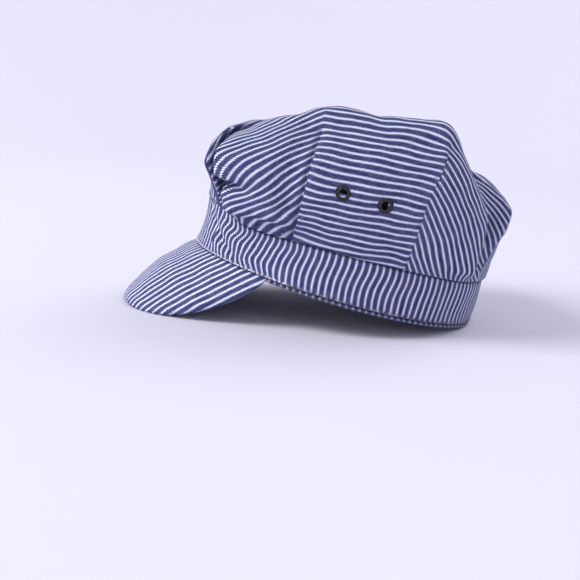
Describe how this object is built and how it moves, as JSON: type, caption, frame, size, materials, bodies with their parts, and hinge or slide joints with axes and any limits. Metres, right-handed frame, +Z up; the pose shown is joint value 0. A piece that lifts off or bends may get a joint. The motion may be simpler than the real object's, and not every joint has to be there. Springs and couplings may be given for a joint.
{
  "type": "railroad engineer cap",
  "caption": "Soft striped cloth work cap with a full gathered crown, a straight band, a curved short visor and vent eyelets.",
  "frame": {"origin": "middle of the cap's bounding box, on the surface that the cap rests on", "axes": "+X towards the visor, +Y towards the wearer's left side, +Z up from the surface; the cap leans on its visor's edge and the back of its hem"},
  "size_m": [0.2718, 0.188, 0.1488],
  "materials": {
    "striped_twill": "matt cotton twill, indigo with narrow white stripes",
    "black_metal": "glossy black enamel"
  },
  "bodies": {
    "root": {"crown": "striped_twill", "band": "striped_twill", "band_hem": "striped_twill", "visor_top": "striped_twill", "visor_under": "striped_twill", "eyelet_left_front": "black_metal", "eyelet_left_rear": "black_metal", "eyelet_right_front": "black_metal", "eyelet_right_rear": "black_metal"}
  },
  "joints": []
}
